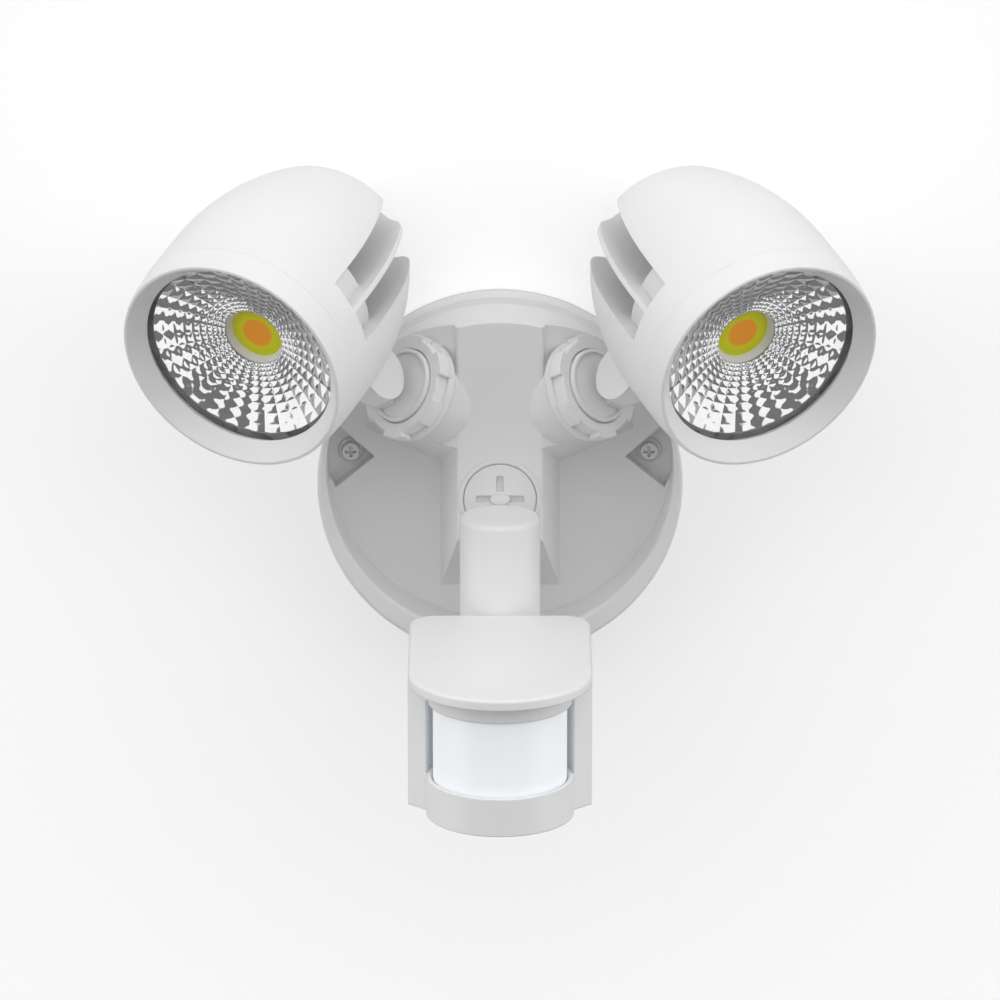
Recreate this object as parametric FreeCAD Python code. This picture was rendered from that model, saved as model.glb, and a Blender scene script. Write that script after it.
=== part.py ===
import FreeCAD, Part
import math
import os

# Wall floodlight with two turning heads and a motion sensor.
# Millimetres. The origin lies on the wall, behind the centre of the round base.
# X points to the viewer's right, -Y away from the wall ("reach") and +Z up.

V = FreeCAD.Vector

# Gaps between pieces.
RUN_GAP = 0.08
BODY_GAP = 0.3
THREAD_GAP = 0.05

# Plate, gasket and wiring on the wall.
PLATE_T = 1.5
GASKET_W = 2.6
PLATE_EDGE_GAP = 0.4
WALL_SCREW_PCD = 84.0
WALL_SCREW_R = 2.5
WALL_SCREW_COUNT = 4
CABLE_UP = -28.0
CABLE_HOLE_R = 9.0
CABLE_BORE_R = 5.0
GROMMET_FLANGE_R = 11.0
GROMMET_FLANGE_T = 1.5
GROMMET_LEN = 7.0
TERMINAL_SIZE = (26.0, 10.0, 8.0)
TERMINAL_AT = (12.0, -26.0)
TERMINAL_COUNT = 3
TERMINAL_SCREW_R = 1.5
TERMINAL_SCREW_LEN = 4.0
DRIVER_SIZE = (20.6, 30.0, 22.0)
DRIVER_UP = 31.0

# Round cover: drum, dish and the rim left around the dish.
COVER_BACK_R = 58.0
COVER_RIM_R = 60.0
COVER_DEPTH = 32.0
COVER_EDGE_R = 1.4
COVER_WALL = 2.4
DISH_R = 57.0
DISH_UP = 5.0
DISH_FLOOR = 13.0
RIM_TOP = 24.0

# Central rib and the two slanted shoulders that carry the stems.
RIB_REACH = 36.5
RIB_HALF = 14.0
RIB_LOW = -17.4
RIB_FOOT_HALF = 19.5
RIB_FOOT_LOW = -40.3
RIB_ROUND = 1.2
BOSS_TOP_R = 56.8
SHOULDER_FOOT_X = 44.0
SHOULDER_LOW = 14.2
SHOULDER_HEEL_X = 17.3
SHOULDER_HEEL_LOW = 1.5
SHOULDER_LEAN = 5.5

# Cover screws in their three-cornered pockets.
COVER_SCREW_X = 49.4
POCKET_FLOOR = 7.5
POCKET_CORNERS = ((41.5, 4.2), (53.5, 15.0), (60.0, 5.0), (54.5, -6.5))
SCREW_POST_R = 5.0
SCREW_HEAD_R = 3.1
SCREW_HEAD_T = 2.2
SCREW_SHANK_R = 1.95
SCREW_SEAT_R = 4.1
SCREW_SEAT_T = 0.7
CROSS_W = 0.9
CROSS_LEN = 3.6
CROSS_DEEP = 1.2

# Stem sockets. The origin of a stem is the middle of its lock ring's front.
STEM_X = -31.7
STEM_UP = 35.3
STEM_REACH = 36.0
STEM_YAW = 51.5
STEM_RISE = 26.0
SWIVEL_SET = 31.2
STEM_R = 12.35
STEM_LEN = 16.0
STEM_FLANGE_R = 13.9
STEM_FLANGE_T = 0.85
STEM_STAND = 1.2
STEM_CUP_R = 11.0
STEM_CUP_DEEP = 0.8
STEM_WIRE_R = 1.5
STEM_WIRE_X = -2.5
SOCKET_R = 14.2
SOCKET_LEN = 20.0
SOCKET_FLANGE_R = 16.8
SOCKET_FLANGE_T = 2.8
SEAL_R = 1.0
SEAL_BACK = 10.0

# Castellated lock ring.
RING_T = 4.5
RING_LIP_T = 1.2
RING_ROOT_R = 15.9
RING_TOOTH_R = 17.5
RING_TEETH = 6
RING_TOOTH_DEG = 30.0
RING_TURN = 10.0

# Knuckle between stem and head.
KNUCKLE_UP = 12.5
EAR_T = 5.9
EAR_R = 5.6
EAR_GAP = 0.4
LUG_NEAR = 4.0
LUG_FAR = -3.7
LUG_R = 9.2
HINGE_R = 2.5
HINGE_HEAD_R = 4.2
HINGE_HEAD_T = 2.6
HINGE_KEY_R = 1.6
HINGE_BLIND = 1.5
WASHER_R = 5.2
WASHER_T = 0.25
TILT_SET = 52.0

# Head, measured from the front of its lens, backwards. The tail's points are
# (radius, distance back): each arc runs through the first to the second.
HEAD_R = 39.3
HEAD_SIDE = 1.3
HEAD_KNUCKLE_BACK = 47.6
HEAD_KNUCKLE_OFF = 42.2
RIM_R = 38.0
RIM_PROUD = 6.2
RIM_BACK = 8.0
SEAM_BACK = 3.0
BARREL_BACK = 24.0
DOME_CURVE_R = 95.0
DOME_BACK = 68.0
TAIL_BULGE = ((25.3, 72.3), (21.0, 75.8))
TAIL_HOLLOW = ((17.2, 79.1), (13.3, 83.2))
TAIL_NECK = (7.5, 89.6)
TAIL_NOSE = ((4.2, 92.4), (0.0, 93.6))
HEAD_WALL = 2.5
FIN_T = 1.9
FIN_PITCH = 11.9
FIN_LOWEST = -18.5
OPEN_CELLS = 2
HOLLOW_FRONT = 18.0
HEAD_WIRE_R = 3.0
HEAD_WIRE_OUT = 24.0
SLOT_FRONT = 14.0
CORE_R = 31.0
CORE_BACK = 32.0

# Front of the head, in the order of the stack.
BEZEL_MOUTH_R = 37.0
BEZEL_ROUND = 0.45
BEZEL_LIP_R = 32.6
BEZEL_LIP_T = 0.35
LENS_R = 34.2
LENS_T = 2.5
LENS_SEAT_GAP = 0.05
LENS_GASKET_IN_R = 31.8
LENS_GASKET_T = 1.1
BOWL_T = 0.8
BOWL_MOUTH_R = 31.5
BOWL_MID_R = 21.0
BOWL_NECK_R = 10.1
BOWL_DEEP = 6.8
BOWL_MID_DEEP = 4.2
HOLDER_R = 13.5
HOLDER_HOLE_R = 8.8
BOARD_R = 11.5
BOARD_T = 1.2
EMITTER_R = 8.7
EMITTER_T = 0.5
HOLDER_T = 3.9
WELL_GAP = 0.5

# Pivot disc on the rib.
PIVOT_UP = -3.2
PIVOT_R = 11.8
PIVOT_SUNK = 2.2
PIVOT_PROUD = 0.4
PIVOT_RING_R = 13.7
PIVOT_RING_W = 1.5
PIVOT_RING_T = 0.3
PIVOT_SHAFT_R = 5.0
PIVOT_NUT_R = 8.5
PIVOT_NUT_T = 3.5
PIVOT_SLOT_W = 2.2
PIVOT_SLOT_IN = 2.6
PIVOT_SLOT_OUT = 7.8
PIVOT_SLOT_DEEP = 1.4
PIVOT_HUB = (3.3, 2.0, 0.5)

# Sensor arm: an upright round post joined to the pivot disc by a short neck.
ARM_R = 13.15
ARM_BACK_GAP = 1.1
ARM_TOP = -4.5
ARM_BOTTOM = -53.5
ARM_ROUND = 1.8
NECK_HALF = 7.0
NECK_TOP = -6.5
NECK_LOW = -12.0

# Sensor head.
HOOD_TOP = -34.1
HOOD_T = 3.4
HOOD_HALF = 29.2
BODY_HALF = HOOD_HALF + BODY_GAP
HOOD_CORNER_R = 9.0
HOOD_ROUND = 1.0
BODY_LOW = -81.5
BODY_SET_BACK = 1.8
BACK_T = 3.0
BODY_WALL = 2.5
LENS_REACH = 122.0
CHEEK_BACK = 7.5
CHEEK_TIP_BACK = 2.0
BORE_R = 23.7
STEP_R = 22.9
STEP_T = 6.4
BAND_R = 23.6
BAND_H = 12.4
BAND_WELL = 3.0
PIR_LENS_R = 21.4
PIR_LENS_T = 1.2
PIR_LENS_ROUND = 3.0
TAB_T = 7.8
TAB_R = 12.0
PAN_SCREW_R = 3.0
PAN_HEAD_R = 5.5
PAN_HEAD_T = 2.8
PAN_SCREW_IN = 12.0
PCB_SIZE = (40.0, 1.6, 28.0)
HOLLOW_BACK = 19.35
CAN_R = 4.6
CAN_LEN = 4.4
DIAL_NAMES = ("dial_range", "dial_lux", "dial_time")
DIAL_PITCH = 14.0
DIAL_REACH = 84.0
DIAL_R = 4.4
DIAL_PROUD = 1.5
DIAL_SUNK = 3.0
DIAL_PAD_R = 6.5
DIAL_PAD_T = 5.0
DIAL_SLOT = (1.0, 6.0, 1.0)
BODY_SCREW_X = 24.5
BODY_SCREW_IN = 4.5
BODY_SCREW_R = 1.5
BODY_SCREW_HEAD_R = 2.8
BODY_SCREW_HEAD_T = 1.8
BODY_SCREW_LEN = 12.0

FAR = 100.0
OUTER_CORNER = 45.0
INNER_CORNER = 135.0


def axes_frame(origin, z_axis, x_axis):
    """A placement whose Z and X axes point along the given directions."""
    z = V(z_axis).normalize()
    y = z.cross(x_axis).normalize()
    x = y.cross(z)
    matrix = FreeCAD.Matrix(x.x, y.x, z.x, origin.x,
                            x.y, y.y, z.y, origin.y,
                            x.z, y.z, z.z, origin.z,
                            0, 0, 0, 1)
    return FreeCAD.Placement(matrix)


def moved(shape, frame):
    """A copy of the shape, carried from its own frame into the given one."""
    return shape.transformed(frame.toMatrix(), True)


def disc(radius, low, high, x=0.0, y=0.0):
    return Part.makeCylinder(radius, high - low, V(x, y, low))


def block(x0, x1, y0, y1, z0, z1):
    return Part.makeBox(x1 - x0, y1 - y0, z1 - z0, V(x0, y0, z0))


def prism(corners, low, high):
    points = [V(x, y, low) for x, y in corners]
    face = Part.Face(Part.makePolygon(points + points[:1]))
    return face.extrude(V(0, 0, high - low))


def turned(path):
    """Turns an outline of (radius, height) about Z; a step of four numbers is an arc."""
    edges = []
    here = V(path[0][0], 0, path[0][1])
    for step in path[1:] + path[:1]:
        there = V(step[-2], 0, step[-1]) if len(step) == 4 else V(step[0], 0, step[1])
        if len(step) == 4:
            edges.append(Part.Arc(here, V(step[0], 0, step[1]), there).toShape())
        elif here.distanceToPoint(there) > 1e-6:
            edges.append(Part.makeLine(here, there))
        here = there
    return Part.Face(Part.Wire(edges)).revolve(V(0, 0, 0), V(0, 0, 1), 360)


def corner(cx, cz, radius, degrees):
    """The middle point of a rounding arc, as the first half of a turned() step."""
    angle = math.radians(degrees)
    return (cx + radius * math.cos(angle), cz + radius * math.sin(angle))


def fused(shapes):
    first = shapes[0]
    return first.fuse(shapes[1:]).removeSplitter()


def rounded(shape, radius, wanted):
    edges = [edge for edge in shape.Edges if wanted(edge)]
    return shape.makeFillet(radius, edges)


def save(name, shape):
    solid = shape if len(shape.Solids) > 1 else shape.Solids[0]
    solid.exportStep("parts/" + name + ".step")


# Frames. WALL has X to the right, Y up and Z along the reach from the wall.
WALL = axes_frame(V(0, 0, 0), V(0, -1, 0), V(1, 0, 0))


def stem_frame(up):
    """The left stem's frame, raised along its axis: Z along it, X along the hinge."""
    yaw = math.radians(STEM_YAW)
    rise = math.radians(STEM_RISE)
    swivel = math.radians(SWIVEL_SET)
    axis = V(-math.sin(yaw) * math.cos(rise), -math.cos(yaw) * math.cos(rise), math.sin(rise))
    level = V(0, 0, 1).cross(axis).normalize()
    steep = axis.cross(level)
    hinge = level * math.cos(swivel) + steep * math.sin(swivel)
    return axes_frame(V(STEM_X, -STEM_REACH, STEM_UP) + axis * up, axis, hinge)


STEM = stem_frame(0.0)
TILT = FreeCAD.Placement(V(0, 0, 0), FreeCAD.Rotation(V(1, 0, 0), TILT_SET))
KNUCKLE = FreeCAD.Placement(V(HEAD_SIDE, HEAD_KNUCKLE_OFF, HEAD_KNUCKLE_BACK), FreeCAD.Rotation())
HEAD = stem_frame(KNUCKLE_UP).multiply(TILT).multiply(KNUCKLE)


# Base, in the WALL frame.

def wall_gasket():
    return disc(COVER_BACK_R, 0, PLATE_T).cut(disc(COVER_BACK_R - GASKET_W, 0, PLATE_T))


def wall_screw_places():
    for index in range(WALL_SCREW_COUNT):
        angle = math.radians(45 + 360 * index / WALL_SCREW_COUNT)
        yield WALL_SCREW_PCD / 2 * math.cos(angle), WALL_SCREW_PCD / 2 * math.sin(angle)


def mounting_plate():
    plate = disc(COVER_BACK_R - GASKET_W - PLATE_EDGE_GAP, 0, PLATE_T)
    holes = [disc(WALL_SCREW_R, 0, PLATE_T, x, y) for x, y in wall_screw_places()]
    holes.append(disc(CABLE_HOLE_R, 0, PLATE_T, 0, CABLE_UP))
    for side in (-1, 1):
        holes.append(disc(SCREW_SHANK_R + THREAD_GAP, 0, PLATE_T, side * COVER_SCREW_X, DISH_UP))
    return plate.cut(holes)


def cable_grommet():
    tube = disc(CABLE_HOLE_R - RUN_GAP, 0, GROMMET_LEN, 0, CABLE_UP)
    flange = disc(GROMMET_FLANGE_R, PLATE_T, PLATE_T + GROMMET_FLANGE_T, 0, CABLE_UP)
    return fused([tube, flange]).cut(disc(CABLE_BORE_R, 0, GROMMET_LEN, 0, CABLE_UP))


def terminal_places():
    pitch = TERMINAL_SIZE[0] / TERMINAL_COUNT
    for index in range(TERMINAL_COUNT):
        yield TERMINAL_AT[0] + pitch * (index + 0.5), TERMINAL_AT[1] + TERMINAL_SIZE[1] / 2


def terminal_block():
    x, y = TERMINAL_AT
    top = PLATE_T + TERMINAL_SIZE[2]
    body = block(x, x + TERMINAL_SIZE[0], y, y + TERMINAL_SIZE[1], PLATE_T, top)
    wells = [disc(TERMINAL_SCREW_R + THREAD_GAP, top - TERMINAL_SCREW_LEN, top, cx, cy)
             for cx, cy in terminal_places()]
    return body.cut(wells)


def terminal_screws():
    top = PLATE_T + TERMINAL_SIZE[2]
    return Part.makeCompound([
        disc(TERMINAL_SCREW_R, top - TERMINAL_SCREW_LEN, top, x, y)
        .cut(block(x - TERMINAL_SCREW_R, x + TERMINAL_SCREW_R, y - CROSS_W / 4, y + CROSS_W / 4,
                   top - CROSS_W, top))
        for x, y in terminal_places()])


def led_driver():
    wide, tall, deep = DRIVER_SIZE
    body = block(-wide / 2, wide / 2, DRIVER_UP - tall / 2, DRIVER_UP + tall / 2,
                 PLATE_T, PLATE_T + deep)
    return rounded(body, 1.0, lambda edge: edge.CenterOfMass.z > PLATE_T + 0.1)


def drum():
    low = COVER_DEPTH - COVER_EDGE_R
    outer = turned([(0, PLATE_T), (COVER_BACK_R, PLATE_T), (COVER_RIM_R, low),
                    corner(COVER_RIM_R - COVER_EDGE_R, low, COVER_EDGE_R, OUTER_CORNER)
                    + (COVER_RIM_R - COVER_EDGE_R, COVER_DEPTH),
                    (0, COVER_DEPTH)])
    mouth_r = DISH_R + COVER_EDGE_R
    dish = turned([(0, DISH_FLOOR), (DISH_R, DISH_FLOOR), (DISH_R, low),
                   corner(mouth_r, low, COVER_EDGE_R, INNER_CORNER) + (mouth_r, COVER_DEPTH),
                   (mouth_r, COVER_DEPTH + 1), (0, COVER_DEPTH + 1)])
    dish.translate(V(0, DISH_UP, 0))
    open_top = block(-FAR, FAR, RIM_TOP, FAR, DISH_FLOOR, FAR)
    return outer.cut([dish, open_top])


def sliced(shape, a, b, c):
    """Cuts away what lies on the side that the normal of the plane a, b, c points to."""
    normal = (b - a).cross(c - a)
    slab = block(-2 * FAR, 2 * FAR, -2 * FAR, 2 * FAR, 0, 2 * FAR)
    return shape.cut(moved(slab, axes_frame(a, normal, b - a)))


def rib():
    """The central rib, whose foot is wider and longer than its front."""
    front_low = V(0, RIB_LOW, RIB_REACH)
    foot_low = V(0, RIB_FOOT_LOW, DISH_FLOOR)
    right_front = V(RIB_HALF, 0, RIB_REACH)
    right_foot = V(RIB_FOOT_HALF, 0, DISH_FLOOR)
    left_front = V(-RIB_HALF, 0, RIB_REACH)
    left_foot = V(-RIB_FOOT_HALF, 0, DISH_FLOOR)
    solid = block(-RIB_FOOT_HALF, RIB_FOOT_HALF, RIB_FOOT_LOW, FAR, DISH_FLOOR, RIB_REACH)
    solid = sliced(solid, right_front, right_foot, right_front + V(0, FAR, 0))
    solid = sliced(solid, left_front, left_front + V(0, FAR, 0), left_foot)
    solid = sliced(solid, front_low, foot_low, front_low + V(FAR, 0, 0))
    return rounded(solid, RIB_ROUND, lambda edge: edge.BoundBox.ZMin > RIB_REACH - 0.01
                   and edge.BoundBox.YMin < FAR - 1)


def shoulder(inset=0.0):
    """The right shoulder: a slanted, slightly leaning face over a sloping underside."""
    drop = (FAR - SHOULDER_LOW) * math.tan(math.radians(SHOULDER_LEAN))
    front = V(RIB_HALF, SHOULDER_LOW, RIB_REACH)
    foot = V(SHOULDER_FOOT_X, SHOULDER_LOW, DISH_FLOOR)
    heel = V(SHOULDER_HEEL_X, SHOULDER_HEEL_LOW, DISH_FLOOR)
    front_top = V(RIB_HALF, FAR, RIB_REACH - drop)
    solid = block(0, SHOULDER_FOOT_X, SHOULDER_HEEL_LOW, FAR, DISH_FLOOR, RIB_REACH)
    solid = sliced(sliced(solid, front, foot, front_top), front, heel, foot)
    solid.translate(V(-inset, 0, -inset))
    return solid


def mirrored(shape):
    return shape.mirror(V(0, 0, 0), V(1, 0, 0))


def boss():
    limit = disc(BOSS_TOP_R, DISH_FLOOR, RIB_REACH)
    return fused([rib(), shoulder(), mirrored(shoulder())]).common(limit)


def boss_hollow():
    """Space for the driver and the wires inside the rib and the shoulders."""
    half = RIB_HALF - COVER_WALL
    front = RIB_REACH - PIVOT_SUNK - COVER_WALL
    slot = block(-half, half, RIB_LOW + COVER_WALL, FAR, PLATE_T, front)
    sides = [shoulder(COVER_WALL + 1.0), mirrored(shoulder(COVER_WALL + 1.0))]
    limit = disc(BOSS_TOP_R - COVER_WALL, PLATE_T, front)
    above = block(-FAR, FAR, SHOULDER_LOW + COVER_WALL, FAR, PLATE_T, front)
    wings = sides[0].fuse(sides[1]).common(above)
    return slot.fuse(wings).common(limit)


def pocket(grow, low, high):
    """A three-cornered pocket round the right cover screw."""
    middle_x = sum(x for x, y in POCKET_CORNERS) / len(POCKET_CORNERS)
    middle_y = sum(y for x, y in POCKET_CORNERS) / len(POCKET_CORNERS)
    corners = []
    for x, y in POCKET_CORNERS:
        away = V(x - middle_x, y - middle_y, 0).normalize()
        corners.append((x + grow * away.x, y + grow * away.y))
    limit = disc(DISH_R, low, high, 0, DISH_UP)
    return prism(corners, low, high).common(limit)


def socket_outer():
    neck = disc(SOCKET_R, -SOCKET_LEN, -RING_LIP_T - STEM_FLANGE_T - 2 * RUN_GAP)
    flange_top = -RING_T - RUN_GAP
    flange = disc(SOCKET_FLANGE_R, flange_top - SOCKET_FLANGE_T, flange_top)
    return moved(fused([neck, flange]), WALL.inverse().multiply(STEM))


def socket_bore():
    return moved(disc(STEM_R + RUN_GAP, -SOCKET_LEN - 1, 1), WALL.inverse().multiply(STEM))


def base_cover():
    back_hollow = disc(COVER_BACK_R - COVER_WALL, PLATE_T, DISH_FLOOR - COVER_WALL)
    shell = drum().cut(back_hollow)
    shell = shell.fuse([boss(), pocket(COVER_WALL, POCKET_FLOOR - COVER_WALL, DISH_FLOOR),
                        mirrored(pocket(COVER_WALL, POCKET_FLOOR - COVER_WALL, DISH_FLOOR))])
    shell = shell.cut(boss_hollow())
    additions = [socket_outer(), mirrored(socket_outer())]
    cuts = [socket_bore(), mirrored(socket_bore())]
    for side in (-1, 1):
        x = side * COVER_SCREW_X
        additions.append(disc(SCREW_POST_R, PLATE_T, POCKET_FLOOR - COVER_WALL / 2, x, DISH_UP))
        cuts.append(disc(SCREW_SHANK_R + THREAD_GAP, 0, POCKET_FLOOR + 1, x, DISH_UP))
    cuts += [pocket(0, POCKET_FLOOR, FAR), mirrored(pocket(0, POCKET_FLOOR, FAR))]
    ring_low = RIB_REACH - PIVOT_SUNK
    cuts.append(disc(PIVOT_R + RUN_GAP, ring_low, FAR, 0, PIVOT_UP))
    cuts.append(disc(PIVOT_SHAFT_R + RUN_GAP, 0, FAR, 0, PIVOT_UP))
    ring = disc(PIVOT_RING_R, RIB_REACH - 1, RIB_REACH + PIVOT_RING_T, 0, PIVOT_UP)
    additions.append(ring.cut(disc(PIVOT_RING_R - PIVOT_RING_W, 0, FAR, 0, PIVOT_UP)))
    shell = shell.fuse(additions).cut(cuts)
    seats = []
    for side in (-1, 1):
        x = side * COVER_SCREW_X
        seat = disc(SCREW_SEAT_R, POCKET_FLOOR - 0.1, POCKET_FLOOR + SCREW_SEAT_T, x, DISH_UP)
        seats.append(seat.cut(disc(SCREW_SHANK_R + THREAD_GAP, 0, FAR, x, DISH_UP)))
    return shell.fuse(seats).removeSplitter()


def cross_cut(x, y, top):
    half_w = CROSS_W / 2
    half_l = CROSS_LEN / 2
    low = top - CROSS_DEEP
    return block(x - half_w, x + half_w, y - half_l, y + half_l, low, top + 1).fuse(
        block(x - half_l, x + half_l, y - half_w, y + half_w, low, top + 1))


def cover_screws():
    screws = []
    seat = POCKET_FLOOR + SCREW_SEAT_T
    for side in (-1, 1):
        x = side * COVER_SCREW_X
        head = disc(SCREW_HEAD_R, seat, seat + SCREW_HEAD_T, x, DISH_UP)
        head = rounded(head, 0.6, lambda edge: edge.CenterOfMass.z > seat + SCREW_HEAD_T - 0.1)
        screw = fused([head, disc(SCREW_SHANK_R, 0, seat, x, DISH_UP)])
        screws.append(screw.cut(cross_cut(x, DISH_UP, seat + SCREW_HEAD_T)))
    return Part.makeCompound(screws)


# Stem, lock ring and knuckle, in the STEM frame.

def lock_ring():
    ring = disc(RING_ROOT_R, -RING_T, 0)
    tooth_half = math.radians(RING_TOOTH_DEG / 2)
    reach = 2 * RING_TOOTH_R
    wedge = prism([(0, 0), (reach * math.cos(tooth_half), -reach * math.sin(tooth_half)),
                   (reach * math.cos(tooth_half), reach * math.sin(tooth_half))], -RING_T, 0)
    tooth = disc(RING_TOOTH_R, -RING_T, 0).common(wedge)
    teeth = []
    for index in range(RING_TEETH):
        copy = tooth.copy()
        copy.rotate(V(0, 0, 0), V(0, 0, 1), RING_TURN + 360 * index / RING_TEETH)
        teeth.append(copy)
    ring = fused([ring] + teeth)
    bore = disc(SOCKET_R + RUN_GAP, -RING_T, -RING_LIP_T)
    mouth = disc(STEM_R + BODY_GAP, -RING_T, 0)
    ring = ring.cut([bore, mouth])
    return rounded(ring, 0.4, lambda edge: edge.BoundBox.ZMin > -0.01
                   and edge.BoundBox.DiagonalLength > 1.0)


def ear():
    """The stem's single ear, clipped to the round of the stem."""
    far = LUG_FAR - EAR_GAP
    near = far - EAR_T
    plate = block(near, far, -EAR_R, EAR_R, -STEM_CUP_DEEP - 1, KNUCKLE_UP)
    tip = Part.makeCylinder(EAR_R, EAR_T, V(near, 0, KNUCKLE_UP), V(1, 0, 0))
    limit = disc(STEM_R - THREAD_GAP, -FAR, FAR)
    return fused([plate, tip]).common(limit)


def stem():
    flange_top = -RING_LIP_T - RUN_GAP
    shaft = disc(STEM_R, -STEM_LEN, flange_top - STEM_FLANGE_T)
    flange = disc(STEM_FLANGE_R, flange_top - STEM_FLANGE_T, flange_top)
    neck = disc(STEM_R - THREAD_GAP, flange_top - STEM_FLANGE_T, STEM_STAND)
    neck = rounded(neck, 0.5, lambda edge: edge.CenterOfMass.z > STEM_STAND - 0.01)
    body = fused([shaft, flange, neck])
    body = body.cut(disc(STEM_CUP_R, STEM_STAND - STEM_CUP_DEEP, STEM_STAND + 1))
    body = body.fuse(ear())
    wire = disc(STEM_WIRE_R, -STEM_LEN, STEM_STAND, STEM_WIRE_X)
    groove = seal_ring(STEM_R + 1, STEM_R - SEAL_R)
    hinge_hole = Part.makeCylinder(HINGE_R + THREAD_GAP, FAR, V(-FAR, 0, KNUCKLE_UP), V(1, 0, 0))
    return body.cut([wire, groove, hinge_hole]).removeSplitter()


def seal_ring(outer, inner):
    low = -SEAL_BACK - SEAL_R
    return disc(outer, low, low + 2 * SEAL_R).cut(disc(inner, low, low + 2 * SEAL_R))


def stem_seal():
    return seal_ring(STEM_R, STEM_R - SEAL_R)


def hinge_bolt():
    """A shouldered bolt from the ear's outer side into the lug."""
    seat = LUG_FAR - EAR_GAP - EAR_T
    head = Part.makeCylinder(HINGE_HEAD_R, HINGE_HEAD_T, V(seat - HINGE_HEAD_T, 0, KNUCKLE_UP),
                             V(1, 0, 0))
    shank = Part.makeCylinder(HINGE_R, HINGE_BLIND - seat, V(seat, 0, KNUCKLE_UP), V(1, 0, 0))
    key = Part.makeCylinder(HINGE_KEY_R, HINGE_HEAD_T * 0.6, V(seat - HINGE_HEAD_T, 0, KNUCKLE_UP),
                            V(1, 0, 0))
    return fused([head, shank]).cut(key)


def hinge_washer():
    start = V(LUG_FAR - EAR_GAP, 0, KNUCKLE_UP)
    washer = Part.makeCylinder(WASHER_R, WASHER_T, start, V(1, 0, 0))
    return washer.cut(Part.makeCylinder(HINGE_R + THREAD_GAP, WASHER_T, start, V(1, 0, 0)))


# Head, in the HEAD frame: Z forwards, Y away from the knuckle, X along the hinge.

def dome_radius(back):
    run = back - BARREL_BACK
    return HEAD_R - DOME_CURVE_R + math.sqrt(DOME_CURVE_R ** 2 - run ** 2)


def bullet(inset):
    """The head's outer form with its ogee tail, or the same form drawn in by a wall."""
    def at(radius, back):
        return (max(radius - inset, 0.0), inset - back)

    def arc(middle, end):
        return at(*middle) + at(*end)

    rim_mid = (HEAD_R + RIM_R) / 2 + (HEAD_R - RIM_R) / 4
    dome_mid = (BARREL_BACK + DOME_BACK) / 2
    return turned([(0, RIM_PROUD + inset), at(RIM_R, -RIM_PROUD),
                   arc((rim_mid, (RIM_BACK - RIM_PROUD) / 2), (HEAD_R, RIM_BACK)),
                   at(HEAD_R, BARREL_BACK),
                   arc((dome_radius(dome_mid), dome_mid), (dome_radius(DOME_BACK), DOME_BACK)),
                   arc(*TAIL_BULGE), arc(*TAIL_HOLLOW), at(*TAIL_NECK), arc(*TAIL_NOSE)])


def open_cell(index):
    """The space between two fins: all through behind the core, a groove beside it."""
    low = FIN_LOWEST + FIN_PITCH * index + FIN_T / 2
    high = low + FIN_PITCH - FIN_T
    groove = block(-FAR, FAR, low, high, -CORE_BACK - 1, -SLOT_FRONT)
    groove = groove.cut(disc(CORE_R, -CORE_BACK - 1, -SLOT_FRONT))
    return groove.fuse(block(-FAR, FAR, low, high, -FAR, -CORE_BACK))


def closed_hollows():
    """The hollows beyond the outer two fins, inside the casting's wall, each with a wire hole."""
    half_fin = FIN_T / 2
    top_fin = FIN_LOWEST + FIN_PITCH * OPEN_CELLS
    inside = bullet(HEAD_WALL)
    upper = inside.common(block(-FAR, FAR, top_fin + half_fin, FAR, -FAR, -HOLLOW_FRONT))
    lower = inside.common(block(-FAR, FAR, -FAR, FIN_LOWEST - half_fin, -FAR, -HOLLOW_FRONT))
    wires = [disc(HEAD_WIRE_R, -HOLLOW_FRONT - 1, -flange_back(), 0, y)
             for y in (-HEAD_WIRE_OUT, HEAD_WIRE_OUT)]
    return [upper, lower] + wires


def lug():
    x_axis = V(1, 0, 0)
    thick = LUG_NEAR - LUG_FAR
    centre = V(LUG_FAR - HEAD_SIDE, -HEAD_KNUCKLE_OFF, -HEAD_KNUCKLE_BACK)
    eye = Part.makeCylinder(LUG_R, thick, centre, x_axis)
    plate = block(LUG_FAR - HEAD_SIDE, LUG_NEAR - HEAD_SIDE, -HEAD_KNUCKLE_OFF, FIN_LOWEST,
                  -HEAD_KNUCKLE_BACK - LUG_R, -HEAD_KNUCKLE_BACK + LUG_R)
    return fused([eye, plate])


def head_housing():
    cuts = [open_cell(index) for index in range(OPEN_CELLS)]
    cuts += closed_hollows()
    cuts += [optic_well(), disc(FAR, -SEAM_BACK, FAR)]
    hole = Part.makeCylinder(HINGE_R + THREAD_GAP, HINGE_BLIND + 0.5 - LUG_FAR,
                             V(LUG_FAR - HEAD_SIDE, -HEAD_KNUCKLE_OFF, -HEAD_KNUCKLE_BACK),
                             V(1, 0, 0))
    return bullet(0.0).cut(cuts).fuse(lug()).cut(hole).removeSplitter()


def gasket_back():
    return LENS_T + LENS_GASKET_T


def flange_back():
    return gasket_back() + BOWL_T


def neck_back():
    return gasket_back() + BOWL_DEEP


def board_back():
    return neck_back() + BOWL_T + HOLDER_T


def optic_well():
    """The round well for reflector and light source, opening forwards."""
    seat_r = LENS_R + 2 * RUN_GAP
    floor_r = HOLDER_R + WELL_GAP
    return turned([(0, -board_back()), (floor_r, -board_back()),
                   (floor_r, -neck_back() - BOWL_T - WELL_GAP),
                   (BOWL_MOUTH_R + BOWL_T + WELL_GAP, -flange_back() - WELL_GAP),
                   (BOWL_MOUTH_R + BOWL_T + WELL_GAP, -flange_back()),
                   (seat_r, -flange_back()), (seat_r, -SEAM_BACK + 1), (0, -SEAM_BACK + 1)])


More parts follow.
